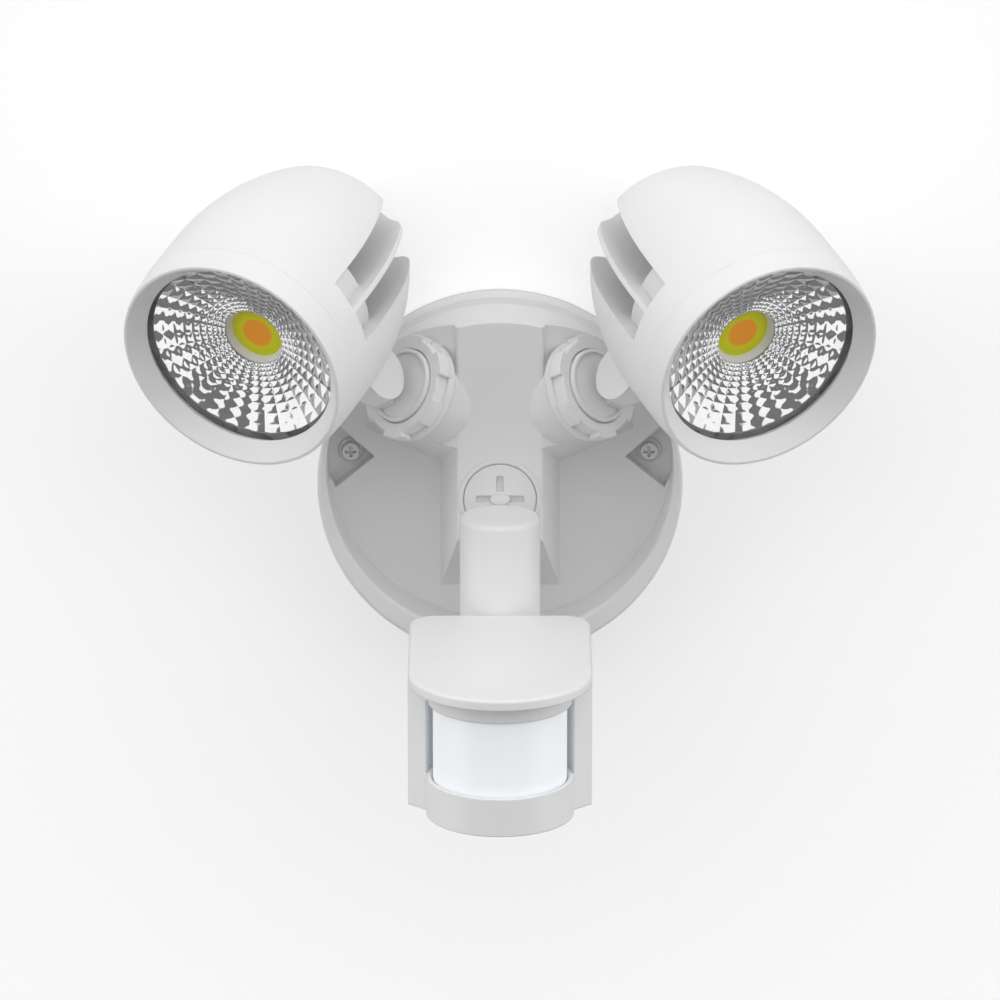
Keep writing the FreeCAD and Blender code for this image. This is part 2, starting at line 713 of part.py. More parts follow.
def head_bezel():
    """The front of the bullet, opened as a shallow funnel down to the window."""
    seat_r = LENS_R + 2 * RUN_GAP
    funnel = turned([(0, -SEAM_BACK), (seat_r, -SEAM_BACK), (seat_r, LENS_SEAT_GAP),
                     (BEZEL_LIP_R, LENS_SEAT_GAP), (BEZEL_LIP_R, LENS_SEAT_GAP + BEZEL_LIP_T),
                     (BEZEL_MOUTH_R, RIM_PROUD), (0, RIM_PROUD)])
    ring = bullet(0.0).common(disc(FAR, -SEAM_BACK, FAR)).cut(funnel)
    return rounded(ring, BEZEL_ROUND, lambda edge: edge.BoundBox.ZMin > RIM_PROUD - 0.01
                   and edge.BoundBox.XMax > BEZEL_MOUTH_R + BEZEL_ROUND)


def head_lens():
    return disc(LENS_R, -LENS_T, 0)


def lens_gasket():
    return disc(LENS_R, -gasket_back(), -LENS_T).cut(
        disc(LENS_GASKET_IN_R, -gasket_back(), -LENS_T))


def reflector():
    top = -gasket_back()
    neck = -neck_back()
    middle = top - BOWL_MID_DEEP
    return turned([(BOWL_MOUTH_R, top), (BOWL_MID_R, middle, BOWL_NECK_R, neck),
                   (BOWL_NECK_R, neck - BOWL_T),
                   (BOWL_NECK_R + BOWL_T, neck - BOWL_T),
                   (BOWL_MID_R + BOWL_T / 2, middle - BOWL_T, BOWL_MOUTH_R + BOWL_T, top - BOWL_T),
                   (LENS_R, top - BOWL_T), (LENS_R, top)])


def led_holder():
    top = -neck_back() - BOWL_T
    low = -board_back()
    pocket_top = low + BOARD_T + EMITTER_T
    hole = turned([(0, low), (HOLDER_HOLE_R, low), (HOLDER_HOLE_R, pocket_top),
                   (BOWL_NECK_R, top), (0, top)])
    board = disc(BOARD_R + RUN_GAP, low, low + BOARD_T)
    return disc(HOLDER_R, low, top).cut([hole, board])


def led_board():
    return disc(BOARD_R, -board_back(), -board_back() + BOARD_T)


def led_emitter():
    low = -board_back() + BOARD_T
    return disc(EMITTER_R, low, low + EMITTER_T)


# Sensor arm and pivot, in the WALL frame.

def pivot_disc():
    low = RIB_REACH - PIVOT_SUNK
    top = RIB_REACH + PIVOT_PROUD
    shaft_end = low - COVER_WALL - PIVOT_NUT_T - 2 * BODY_GAP
    plug = fused([disc(PIVOT_R, low, top, 0, PIVOT_UP),
                  disc(PIVOT_SHAFT_R, shaft_end, low, 0, PIVOT_UP)])
    half = PIVOT_SLOT_W / 2
    bar = block(-half, half, PIVOT_UP + PIVOT_SLOT_IN, PIVOT_UP + PIVOT_SLOT_OUT,
                top - PIVOT_SLOT_DEEP, top)
    bars = []
    for quarter in range(4):
        copy = bar.copy()
        copy.rotate(V(0, PIVOT_UP, 0), V(0, 0, 1), 90 * quarter)
        bars.append(copy)
    wide, tall, proud = PIVOT_HUB
    hub = Part.Ellipse(V(wide, PIVOT_UP, top), V(0, PIVOT_UP + tall, top), V(0, PIVOT_UP, top))
    hub = Part.Face(Part.Wire(hub.toShape())).extrude(V(0, 0, proud))
    return fused([plug.cut(bars), hub])


def pivot_nut():
    top = RIB_REACH - PIVOT_SUNK - COVER_WALL - BODY_GAP
    corners = [(PIVOT_NUT_R * math.cos(math.radians(60 * index)),
                PIVOT_UP + PIVOT_NUT_R * math.sin(math.radians(60 * index)))
               for index in range(6)]
    nut = prism(corners, top - PIVOT_NUT_T, top)
    return nut.cut(disc(PIVOT_SHAFT_R, top - PIVOT_NUT_T, top, 0, PIVOT_UP))


ARM_REACH = RIB_REACH + ARM_BACK_GAP + ARM_R
BODY_BACK = ARM_REACH + ARM_R + BODY_GAP + BODY_SET_BACK
HOOD_BACK = ARM_REACH + ARM_R + BODY_GAP


def sensor_arm():
    """The post stands upright; the whole arm is drawn in the object's own frame."""
    post = Part.makeCylinder(ARM_R, ARM_TOP - ARM_BOTTOM, V(0, -ARM_REACH, ARM_BOTTOM))
    post = rounded(post, ARM_ROUND, lambda edge: edge.CenterOfMass.z > ARM_TOP - 0.1)
    neck = block(-NECK_HALF, NECK_HALF, -ARM_REACH, -RIB_REACH - PIVOT_PROUD, NECK_LOW, NECK_TOP)
    screw_hole = Part.makeCylinder(PAN_SCREW_R + THREAD_GAP, PAN_SCREW_IN + 0.5,
                                   V(0, -ARM_REACH, ARM_BOTTOM))
    return fused([post, neck]).cut(screw_hole)


# Sensor head, in the object's own frame.

def plan(points, low, high):
    """A prism over an outline of (x, reach)."""
    corners = [V(x, -reach, low) for x, reach in points]
    face = Part.Face(Part.makePolygon(corners + corners[:1]))
    return face.extrude(V(0, 0, high - low))


def post(radius, low, high, x=0.0, reach=LENS_REACH):
    return Part.makeCylinder(radius, high - low, V(x, -reach, low))


def sensor_hood():
    low = HOOD_TOP - HOOD_T
    plate = plan([(-HOOD_HALF, HOOD_BACK), (HOOD_HALF, HOOD_BACK), (HOOD_HALF, LENS_REACH),
                  (-HOOD_HALF, LENS_REACH)], low, HOOD_TOP)
    plate = rounded(plate, HOOD_CORNER_R, lambda edge: abs(edge.CenterOfMass.z - low
                    - HOOD_T / 2) < 0.1 and edge.CenterOfMass.y > -HOOD_BACK - 1)
    whole = fused([plate, post(HOOD_HALF, low, HOOD_TOP)])
    return rounded(whole, HOOD_ROUND, lambda edge: edge.BoundBox.ZMin > HOOD_TOP - 0.01)


BODY_TOP = HOOD_TOP - HOOD_T
SPLIT = BODY_BACK + BACK_T


def body_screw_places():
    for x in (-BODY_SCREW_X, BODY_SCREW_X):
        for up in (BODY_TOP - BODY_SCREW_IN, BODY_LOW + BODY_SCREW_IN):
            yield x, up


def along_reach(radius, start, end, x, up):
    return Part.makeCylinder(radius, end - start, V(x, -start, up), V(0, -1, 0))


def sensor_back():
    """The rear cover, with the tab that turns under the arm."""
    plate = block(-BODY_HALF, BODY_HALF, -SPLIT, -BODY_BACK, BODY_LOW, BODY_TOP)
    top = ARM_BOTTOM - BODY_GAP
    tab = plan([(-TAB_R, ARM_REACH), (TAB_R, ARM_REACH), (TAB_R, BODY_BACK), (-TAB_R, BODY_BACK)],
               top - TAB_T, top)
    eye = post(TAB_R, top - TAB_T, top, 0, ARM_REACH)
    body = fused([plate, tab, eye])
    cuts = [post(PAN_SCREW_R + 2 * THREAD_GAP, top - TAB_T, top, 0, ARM_REACH)]
    for x, up in body_screw_places():
        cuts.append(along_reach(BODY_SCREW_R + THREAD_GAP, BODY_BACK, SPLIT, x, up))
        cuts.append(along_reach(BODY_SCREW_HEAD_R + THREAD_GAP, BODY_BACK,
                                BODY_BACK + BODY_SCREW_HEAD_T, x, up))
    return body.cut(cuts)


def dial_places():
    for index, name in enumerate(DIAL_NAMES):
        yield name, DIAL_PITCH * (index - (len(DIAL_NAMES) - 1) / 2)


def sensor_body():
    cheek = LENS_REACH - CHEEK_BACK
    tip = LENS_REACH - CHEEK_TIP_BACK
    outline = [(-BODY_HALF, SPLIT), (BODY_HALF, SPLIT), (BODY_HALF, cheek), (BORE_R, tip),
               (-BORE_R, tip), (-BODY_HALF, cheek)]
    band_top = BODY_LOW + BAND_H
    step_low = BODY_TOP - STEP_T
    body = plan(outline, BODY_LOW, BODY_TOP).cut(post(BORE_R, band_top, step_low))
    body = fused([body, post(BAND_R, BODY_LOW, band_top), post(STEP_R, step_low, BODY_TOP)])
    hollow_front = LENS_REACH - HOLLOW_BACK
    hollow = plan([(-BODY_HALF + BODY_WALL, SPLIT), (BODY_HALF - BODY_WALL, SPLIT),
                   (BODY_HALF - BODY_WALL, hollow_front), (-BODY_HALF + BODY_WALL, hollow_front)],
                  BODY_LOW + BODY_WALL, BODY_TOP - BODY_WALL)
    body = body.cut([hollow, post(PIR_LENS_R + 2 * BODY_GAP, band_top - BAND_WELL, step_low + 1)])
    posts = []
    cuts = []
    for x, up in body_screw_places():
        posts.append(along_reach(BODY_SCREW_R + BODY_WALL, SPLIT, SPLIT + BODY_SCREW_LEN, x, up))
        cuts.append(along_reach(BODY_SCREW_R + THREAD_GAP, SPLIT, SPLIT + BODY_SCREW_LEN - 1,
                                x, up))
    for name, x in dial_places():
        posts.append(post(DIAL_PAD_R, BODY_LOW, BODY_LOW + DIAL_PAD_T, x, DIAL_REACH))
        cuts.append(post(DIAL_R + RUN_GAP, BODY_LOW, BODY_LOW + DIAL_SUNK + BODY_GAP, x,
                         DIAL_REACH))
    return body.fuse(posts).cut(cuts).removeSplitter()


def body_screws():
    screws = []
    for x, up in body_screw_places():
        head_end = BODY_BACK + BODY_SCREW_HEAD_T
        head = along_reach(BODY_SCREW_HEAD_R, BODY_BACK, head_end, x, up)
        shank = along_reach(BODY_SCREW_R, head_end, SPLIT + BODY_SCREW_LEN - 2, x, up)
        screw = fused([head, shank])
        notch = block(x - CROSS_LEN / 2, x + CROSS_LEN / 2, -BODY_BACK - CROSS_DEEP,
                      -BODY_BACK, up - CROSS_W / 2, up + CROSS_W / 2)
        screws.append(screw.cut(notch))
    return Part.makeCompound(screws)


def sensor_lens():
    """A milky cup, closed at the bottom, standing in the band."""
    low = BODY_LOW + BAND_H - BAND_WELL + BODY_GAP
    top = BODY_TOP - STEP_T
    outer = post(PIR_LENS_R, low, top)
    outer = rounded(outer, PIR_LENS_ROUND, lambda edge: edge.BoundBox.ZMax < low + 0.1)
    inner = post(PIR_LENS_R - PIR_LENS_T, low + PIR_LENS_T, top)
    inner = rounded(inner, PIR_LENS_ROUND - PIR_LENS_T,
                    lambda edge: edge.BoundBox.ZMax < low + PIR_LENS_T + 0.1)
    front = plan([(-FAR, LENS_REACH - CHEEK_BACK), (FAR, LENS_REACH - CHEEK_BACK),
                  (FAR, 2 * FAR), (-FAR, 2 * FAR)], low - 1, top + 1)
    return outer.cut(inner).common(front)


def board_front():
    return LENS_REACH - HOLLOW_BACK - BODY_GAP


def board_middle():
    return (BODY_LOW + BAND_H + BODY_TOP - STEP_T) / 2


def sensor_board():
    wide, thick, tall = PCB_SIZE
    reach = board_front()
    middle = board_middle()
    return block(-wide / 2, wide / 2, -reach, -reach + thick, middle - tall / 2, middle + tall / 2)


def pir_element():
    reach = board_front()
    can = along_reach(CAN_R, reach, reach + CAN_LEN, 0, board_middle())
    return rounded(can, 0.4, lambda edge: edge.CenterOfMass.y < -reach - CAN_LEN + 0.1)


def pan_screw():
    top = ARM_BOTTOM - BODY_GAP - TAB_T - BODY_GAP
    head = post(PAN_HEAD_R, top - PAN_HEAD_T, top, 0, ARM_REACH)
    shank = post(PAN_SCREW_R, top, ARM_BOTTOM + PAN_SCREW_IN, 0, ARM_REACH)
    notch = block(-PAN_HEAD_R, PAN_HEAD_R, -ARM_REACH - CROSS_W / 2, -ARM_REACH + CROSS_W / 2,
                  top - PAN_HEAD_T, top - PAN_HEAD_T + CROSS_DEEP)
    return fused([head, shank]).cut(notch)


def dial(x):
    low = BODY_LOW - DIAL_PROUD
    knob = post(DIAL_R, low, BODY_LOW + DIAL_SUNK, x, DIAL_REACH)
    knob = rounded(knob, 0.4, lambda edge: edge.BoundBox.ZMax < low + 0.1)
    wide, long, deep = DIAL_SLOT
    slot = block(x - wide / 2, x + wide / 2, -DIAL_REACH - long / 2, -DIAL_REACH + long / 2,
                 low, low + deep)
    return knob.cut(slot)


ROOT_PIECES = {
    "wall_gasket": wall_gasket,
    "mounting_plate": mounting_plate,
    "cable_grommet": cable_grommet,
    "terminal_block": terminal_block,
    "terminal_screws": terminal_screws,
    "led_driver": led_driver,
    "base_cover": base_cover,
    "cover_screws": cover_screws,
    "pivot_disc": pivot_disc,
    "pivot_nut": pivot_nut,
}

STEM_PIECES = {
    "lock_ring": lock_ring,
    "stem": stem,
    "stem_seal": stem_seal,
    "hinge_bolt": hinge_bolt,
    "hinge_washer": hinge_washer,
}

HEAD_PIECES = {
    "head_housing": head_housing,
    "head_bezel": head_bezel,
    "head_lens": head_lens,
    "lens_gasket": lens_gasket,
    "reflector": reflector,
    "led_holder": led_holder,
    "led_board": led_board,
    "led_emitter": led_emitter,
}

SENSOR_PIECES = {
    "sensor_arm": sensor_arm,
    "sensor_hood": sensor_hood,
    "sensor_back": sensor_back,
    "sensor_body": sensor_body,
    "sensor_lens": sensor_lens,
    "sensor_board": sensor_board,
    "pir_element": pir_element,
    "body_screws": body_screws,
    "pan_screw": pan_screw,
}


def save_pair(name, shape):
    save("left_" + name, shape)
    save("right_" + name, mirrored(shape))


os.makedirs("parts", exist_ok=True)
for name, make in ROOT_PIECES.items():
    save(name, moved(make(), WALL))
for name, make in STEM_PIECES.items():
    save_pair(name, moved(make(), STEM))
for name, make in HEAD_PIECES.items():
    save_pair(name, moved(make(), HEAD))
for name, make in SENSOR_PIECES.items():
    save(name, make())
for name, x in dial_places():
    save(name, dial(x))
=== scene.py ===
import bpy
import math
from mathutils import Euler, Matrix, Vector


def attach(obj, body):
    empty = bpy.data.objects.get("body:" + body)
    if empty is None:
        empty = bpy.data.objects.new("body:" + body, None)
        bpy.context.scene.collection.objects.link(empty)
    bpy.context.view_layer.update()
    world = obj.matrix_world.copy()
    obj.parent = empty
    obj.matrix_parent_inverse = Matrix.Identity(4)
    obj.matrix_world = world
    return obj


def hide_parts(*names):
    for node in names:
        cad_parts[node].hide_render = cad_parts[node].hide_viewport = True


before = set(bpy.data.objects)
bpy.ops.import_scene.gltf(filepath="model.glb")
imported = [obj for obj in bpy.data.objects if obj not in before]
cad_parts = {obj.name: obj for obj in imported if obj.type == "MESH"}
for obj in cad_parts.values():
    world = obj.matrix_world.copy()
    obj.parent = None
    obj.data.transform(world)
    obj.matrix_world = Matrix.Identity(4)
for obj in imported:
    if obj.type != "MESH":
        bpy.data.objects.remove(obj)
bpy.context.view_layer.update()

scene = bpy.context.scene
mm = 0.001
for thing in bpy.context.selected_objects:
    thing.select_set(False)

# ---------------------------------------------------------------------------
# The wall. A smooth painted wall with the junction box's round opening behind
# the lamp's base. It is the backdrop, and it keeps the lamp's soft shadow.

WALL_HALF = 3.0
WALL_BACK = 0.2 * mm
BOX_OPENING_R = 50 * mm


def linear(hex_colour):
    """An sRGB hex colour as linear red, green, blue and alpha."""
    channels = [int(hex_colour[i:i + 2], 16) / 255 for i in (1, 3, 5)]
    return tuple(c / 12.92 if c <= 0.04045 else ((c + 0.055) / 1.055) ** 2.4
                 for c in channels) + (1.0,)


def new_material(name):
    made = bpy.data.materials.new(name)
    made.use_nodes = True
    made.node_tree.nodes.clear()
    return made, made.node_tree


def add(tree, kind, links=None, **settings):
    """Adds one node, sets its own settings, and fills or links its sockets."""
    made = tree.nodes.new(kind)
    for key, value in settings.items():
        setattr(made, key, value)
    for socket, value in (links or {}).items():
        if isinstance(value, bpy.types.NodeSocket):
            tree.links.new(value, made.inputs[socket])
        else:
            made.inputs[socket].default_value = value
    return made


# Emulsion paint on plaster: dull, almost white, seen as the photograph's blank
# background. The camera sees it a little brighter than it is, so that it turns
# white and only the lamp's shadow darkens it. From behind it lets the view through.
WALL_LIFT = 0.34
wall_paint, tree = new_material("emulsion_on_plaster")
path = add(tree, "ShaderNodeLightPath")
side = add(tree, "ShaderNodeNewGeometry")
paint = add(tree, "ShaderNodeBsdfDiffuse", {"Color": linear("#F4F4F4")})
seen = add(tree, "ShaderNodeMath", {0: path.outputs["Is Camera Ray"], 1: WALL_LIFT},
           operation="MULTIPLY")
lift = add(tree, "ShaderNodeEmission", {"Color": (1, 1, 1, 1), "Strength": seen.outputs[0]})
face = add(tree, "ShaderNodeAddShader", {0: paint.outputs[0], 1: lift.outputs[0]})
clear = add(tree, "ShaderNodeBsdfTransparent")
both = add(tree, "ShaderNodeMixShader",
           {0: side.outputs["Backfacing"], 1: face.outputs[0], 2: clear.outputs[0]})
add(tree, "ShaderNodeOutputMaterial", {"Surface": both.outputs[0]})

bpy.ops.mesh.primitive_circle_add(vertices=96, radius=BOX_OPENING_R,
                                  location=(0, WALL_BACK, 0), rotation=(math.pi / 2, 0, 0))
wall = bpy.context.object
wall.name = "backdrop_wall"
bpy.ops.object.transform_apply(location=True, rotation=True, scale=True)
bpy.ops.object.mode_set(mode="EDIT")
bpy.ops.mesh.select_all(action="SELECT")
bpy.ops.mesh.extrude_edges_move()
bpy.ops.transform.resize(value=(WALL_HALF / BOX_OPENING_R,) * 3)
bpy.ops.object.mode_set(mode="OBJECT")
if wall.data.polygons[0].normal.y > 0:
    wall.data.flip_normals()
wall.data.materials.append(wall_paint)

# ---------------------------------------------------------------------------
# Parts between wall and base: the sealing ring, the zinc-plated plate that is
# screwed to the wall, and the rubber grommet that the supply cable passes.


def dress(node, material):
    """Gives a solid from the frame its finish."""
    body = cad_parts[node]
    body.data.materials.clear()
    body.data.materials.append(material)


def moulded_rubber(name, dark, light):
    """Moulded rubber: dull, with a faint bloom in patches."""
    made, tree = new_material(name)
    place = add(tree, "ShaderNodeTexCoord")
    bloom = add(tree, "ShaderNodeTexNoise",
                {"Vector": place.outputs["Object"], "Scale": 160.0, "Detail": 4.0})
    tone = add(tree, "ShaderNodeValToRGB", {"Fac": bloom.outputs["Fac"]})
    tone.color_ramp.elements[0].color = linear(dark)
    tone.color_ramp.elements[1].color = linear(light)
    grain = add(tree, "ShaderNodeTexNoise",
                {"Vector": place.outputs["Object"], "Scale": 1400.0})
    bump = add(tree, "ShaderNodeBump",
               {"Height": grain.outputs["Fac"], "Strength": 0.2, "Distance": 0.1 * mm})
    skin = add(tree, "ShaderNodeBsdfPrincipled",
               {"Base Color": tone.outputs["Color"], "Roughness": 0.72, "IOR": 1.52,
                "Normal": bump.outputs["Normal"]})
    add(tree, "ShaderNodeOutputMaterial", {"Surface": skin.outputs[0]})
    return made


def zinc_plate():
    """Zinc-plated steel sheet: grey metal with faint cloudy crystals."""
    made, tree = new_material("zinc_plated_steel")
    place = add(tree, "ShaderNodeTexCoord")
    cloud = add(tree, "ShaderNodeTexVoronoi",
                {"Vector": place.outputs["Object"], "Scale": 220.0}, feature="F1")
    tone = add(tree, "ShaderNodeValToRGB", {"Fac": cloud.outputs["Distance"]})
    tone.color_ramp.elements[0].color = linear("#A9ABAD")
    tone.color_ramp.elements[1].color = linear("#C6C8CA")
    rough = add(tree, "ShaderNodeMapRange",
                {"Value": cloud.outputs["Distance"], "To Min": 0.28, "To Max": 0.42})
    metal = add(tree, "ShaderNodeBsdfPrincipled",
                {"Base Color": tone.outputs["Color"], "Metallic": 1.0,
                 "Roughness": rough.outputs["Result"]})
    add(tree, "ShaderNodeOutputMaterial", {"Surface": metal.outputs[0]})
    return made


def foam_seal():
    """White closed-cell foam: chalky and dull, with fine pores at its cut edge."""
    made, tree = new_material("white_foam_seal")
    place = add(tree, "ShaderNodeTexCoord")
    pores = add(tree, "ShaderNodeTexVoronoi",
                {"Vector": place.outputs["Object"], "Scale": 1 / (0.9 * mm)}, feature="F1")
    tone = add(tree, "ShaderNodeValToRGB", {"Fac": pores.outputs["Distance"]})
    tone.color_ramp.elements[0].color = linear("#DADAD8")
    tone.color_ramp.elements[1].color = linear("#E6E6E4")
    bump = add(tree, "ShaderNodeBump",
               {"Height": pores.outputs["Distance"], "Strength": 0.2, "Distance": 0.1 * mm})
    foam = add(tree, "ShaderNodeBsdfPrincipled",
               {"Base Color": tone.outputs["Color"], "Roughness": 0.85, "IOR": 1.49,
                "Normal": bump.outputs["Normal"]})
    add(tree, "ShaderNodeOutputMaterial", {"Surface": foam.outputs[0]})
    return made


rubber = moulded_rubber("moulded_epdm_rubber", "#1B1B1C", "#2C2C2D")
zinc = zinc_plate()
dress("wall_gasket", foam_seal())
dress("cable_grommet", rubber)
dress("mounting_plate", zinc)

# ---------------------------------------------------------------------------
# Wiring inside the base: a green-tinted terminal block with its screws, and
# the closed supply that feeds both heads.


def moulded_abs(name, light, dark, roughness, grain_mm, edge_mm):
    """Injection-moulded plastic: an even satin skin whose edges are a little round.

    The grain of the tool is finer than a pixel, so it is drawn a little coarser.
    """
    made, tree = new_material(name)
    place = add(tree, "ShaderNodeTexCoord")
    flow = add(tree, "ShaderNodeTexNoise",
               {"Vector": place.outputs["Object"], "Scale": 1 / 0.045, "Detail": 2.0})
    tone = add(tree, "ShaderNodeValToRGB", {"Fac": flow.outputs["Fac"]})
    tone.color_ramp.elements[0].position = 0.3
    tone.color_ramp.elements[0].color = linear(dark)
    tone.color_ramp.elements[1].position = 0.7
    tone.color_ramp.elements[1].color = linear(light)
    rough = add(tree, "ShaderNodeMapRange",
                {"Value": flow.outputs["Fac"], "To Min": roughness - 0.04,
                 "To Max": roughness + 0.04})
    edge = add(tree, "ShaderNodeBevel", {"Radius": edge_mm * mm}, samples=6)
    grain = add(tree, "ShaderNodeTexNoise",
                {"Vector": place.outputs["Object"], "Scale": 1 / (grain_mm * mm),
                 "Detail": 3.0})
    bump = add(tree, "ShaderNodeBump",
               {"Height": grain.outputs["Fac"], "Strength": 0.12, "Distance": 0.05 * mm,
                "Normal": edge.outputs["Normal"]})
    skin = add(tree, "ShaderNodeBsdfPrincipled",
               {"Base Color": tone.outputs["Color"], "Roughness": rough.outputs["Result"],
                "IOR": 1.53, "Normal": bump.outputs["Normal"]})
    add(tree, "ShaderNodeOutputMaterial", {"Surface": skin.outputs[0]})
    return made


block_plastic = moulded_abs("moulded_polyamide", "#B9C2BB", "#AEB8B1", 0.5, 0.8, 0.4)
supply_case = moulded_abs("moulded_supply_case", "#D9D9D6", "#D2D2CF", 0.45, 0.8, 0.6)
dress("terminal_block", block_plastic)
dress("led_driver", supply_case)
dress("terminal_screws", zinc)

# ---------------------------------------------------------------------------
# The round base cover: white UV-stable plastic, moulded in one piece with its
# dished face, central rib, slanted shoulders and the pair of stem sockets.

WHITE_LIGHT = "#F1F1F1"
WHITE_DARK = "#EEEEEE"
white_plastic = moulded_abs("moulded_white_asa", WHITE_LIGHT, WHITE_DARK, 0.42, 0.9, 0.7)
dress("base_cover", white_plastic)


def plated_screws():
    """Zinc-plated screw steel under a white cap paint: pale, satin, a little worn."""
    made, tree = new_material("white_coated_screw")
    place = add(tree, "ShaderNodeTexCoord")
    wear = add(tree, "ShaderNodeTexNoise",
               {"Vector": place.outputs["Object"], "Scale": 900.0, "Detail": 5.0})
    tone = add(tree, "ShaderNodeValToRGB", {"Fac": wear.outputs["Fac"]})
    tone.color_ramp.elements[0].position = 0.35
    tone.color_ramp.elements[0].color = linear("#D2D3D4")
    tone.color_ramp.elements[1].position = 0.6
    tone.color_ramp.elements[1].color = linear("#E6E7E8")
    edge = add(tree, "ShaderNodeBevel", {"Radius": 0.25 * mm}, samples=6)
    coat = add(tree, "ShaderNodeBsdfPrincipled",
               {"Base Color": tone.outputs["Color"], "Metallic": 0.2, "Roughness": 0.4,
                "Normal": edge.outputs["Normal"]})
    add(tree, "ShaderNodeOutputMaterial", {"Surface": coat.outputs[0]})
    return made


screw_coat = plated_screws()
dress("cover_screws", screw_coat)

# ---------------------------------------------------------------------------
# Stems: hollow white turning posts, each held in its socket by a notched lock
# ring, sealed by a rubber ring, with one ear that takes the head's bolt.

for side_name in ("left", "right"):
    dress(side_name + "_lock_ring", white_plastic)
    dress(side_name + "_stem", white_plastic)
    dress(side_name + "_stem_seal", rubber)
    dress(side_name + "_hinge_bolt", screw_coat)
    dress(side_name + "_hinge_washer", zinc)

# ---------------------------------------------------------------------------
# Heads: finned housings of die-cast aluminium under white powder coat, closed
# in front by a bezel in the same coat.


def powder_coat():
    """White polyester powder on cast aluminium: satin, with a soft orange peel."""
    made, tree = new_material("white_powder_coat")
    place = add(tree, "ShaderNodeTexCoord")
    cloud = add(tree, "ShaderNodeTexNoise",
                {"Vector": place.outputs["Object"], "Scale": 1 / 0.05, "Detail": 2.0})
    tone = add(tree, "ShaderNodeValToRGB", {"Fac": cloud.outputs["Fac"]})
    tone.color_ramp.elements[0].position = 0.3
    tone.color_ramp.elements[0].color = linear("#EEEEEE")
    tone.color_ramp.elements[1].position = 0.7
    tone.color_ramp.elements[1].color = linear("#F2F2F2")
    edge = add(tree, "ShaderNodeBevel", {"Radius": 0.3 * mm}, samples=6)
    peel = add(tree, "ShaderNodeTexNoise",
               {"Vector": place.outputs["Object"], "Scale": 1 / (1.4 * mm), "Detail": 1.0})
    bump = add(tree, "ShaderNodeBump",
               {"Height": peel.outputs["Fac"], "Strength": 0.15, "Distance": 0.06 * mm,
                "Normal": edge.outputs["Normal"]})
    coat = add(tree, "ShaderNodeBsdfPrincipled",
               {"Base Color": tone.outputs["Color"], "Roughness": 0.38, "IOR": 1.5,
                "Normal": bump.outputs["Normal"]})
    add(tree, "ShaderNodeOutputMaterial", {"Surface": coat.outputs[0]})
    return made


coat = powder_coat()
silicone = moulded_rubber("grey_silicone_gasket", "#8C8C8D", "#9A9A9B")
for side_name in ("left", "right"):
    dress(side_name + "_head_housing", coat)
    dress(side_name + "_head_bezel", coat)
    dress(side_name + "_lens_gasket", silicone)

# ---------------------------------------------------------------------------
# Reflectors: deep bowls of vacuum-metallised plastic, pressed into rings of
# small cushion-shaped mirrors that grow towards the mouth.

LENS_T = 2.5 * mm
GASKET_T = 1.1 * mm
BOWL_MOUTH_R = 31.5 * mm
BOWL_MID_R = 21.0 * mm
BOWL_NECK_R = 10.1 * mm
BOWL_LIP_R = 33.4 * mm
BOWL_MID_DEEP = 4.2 * mm
BOWL_DEEP = 6.8 * mm
BOWL_RINGS = 10
BOWL_SECTORS = 34
BOWL_WALL = 0.6 * mm
CUSHION = 0.62 * mm
CELL_EDGE_DEG = 13.0
STEM_YAW = 51.5
STEM_RISE = 26.0
STEM_TURN = 31.2
RING_FRONT = Vector((-31.7, -36.0, 35.3)) * mm
KNUCKLE_UP = 12.5 * mm
HEAD_BEND = 52.0
HEAD_SIDE = 1.3 * mm
HEAD_OFF = 42.2 * mm
HEAD_FORWARD = 47.6 * mm


def stem_axes():
    """The left stem's axis and its hinge's axis."""
    yaw, rise, turn = (math.radians(angle) for angle in (STEM_YAW, STEM_RISE, STEM_TURN))
    axis = Vector((-math.sin(yaw) * math.cos(rise), -math.cos(yaw) * math.cos(rise),
                   math.sin(rise)))
    level = Vector((0, 0, 1)).cross(axis).normalized()
    hinge = level * math.cos(turn) + axis.cross(level) * math.sin(turn)
    return axis, hinge


def head_place():
    """The left head's frame: Z forwards, X along its hinge, origin on the window."""
    axis, hinge = stem_axes()
    forward = Matrix.Rotation(math.radians(HEAD_BEND), 3, hinge) @ axis
    away = forward.cross(hinge)
    knuckle = RING_FRONT + axis * KNUCKLE_UP
    origin = knuckle + hinge * HEAD_SIDE + away * HEAD_OFF + forward * HEAD_FORWARD
    turn = Matrix((hinge, away, forward)).transposed().to_4x4()
    return Matrix.Translation(origin) @ turn


def bowl_depth(radius):
    """Height of the bowl's skin at a radius, on the curve through neck, middle and mouth."""
    points = ((BOWL_NECK_R, -BOWL_DEEP), (BOWL_MID_R, -BOWL_MID_DEEP), (BOWL_MOUTH_R, 0.0))
    height = 0.0
    for r, z in points:
        share = z
        for other, _ in points:
            if other != r:
                share *= (radius - other) / (r - other)
        height += share
    return height - LENS_T - GASKET_T


